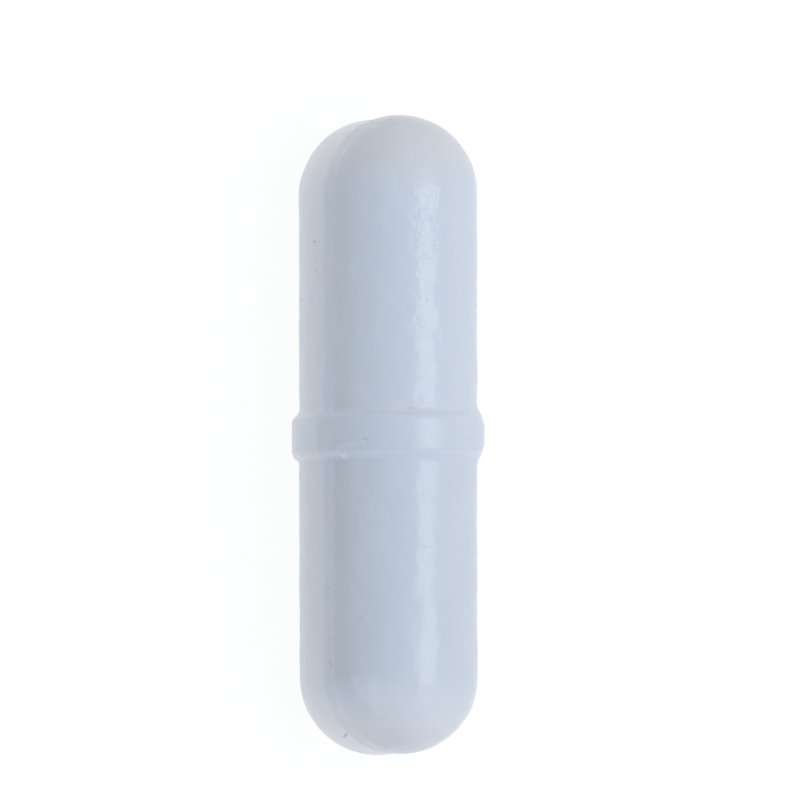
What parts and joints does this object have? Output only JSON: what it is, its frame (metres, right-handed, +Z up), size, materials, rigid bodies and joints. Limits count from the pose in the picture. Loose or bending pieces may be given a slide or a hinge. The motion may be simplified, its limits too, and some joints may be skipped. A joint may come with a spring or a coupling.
{
  "type": "magnetic stir bar",
  "caption": "Round-ended white stir bar with a low pivot ring at mid-length and a bar magnet sealed inside, spun in a vessel by a magnetic stirrer.",
  "frame": {"origin": "centre of the pivot ring, on the bar's axis at mid-length", "axes": "+X along the bar, +Z up out of the vessel floor that the bar spins on"},
  "size_m": [0.03, 0.008, 0.008],
  "materials": {
    "jacket": "smooth moulded fluoropolymer, white with a cool tint, soft sheen",
    "magnet": "cast magnet alloy, ground, grey"
  },
  "bodies": {
    "root": {"jacket": "jacket", "magnet_core": "magnet"}
  },
  "joints": []
}
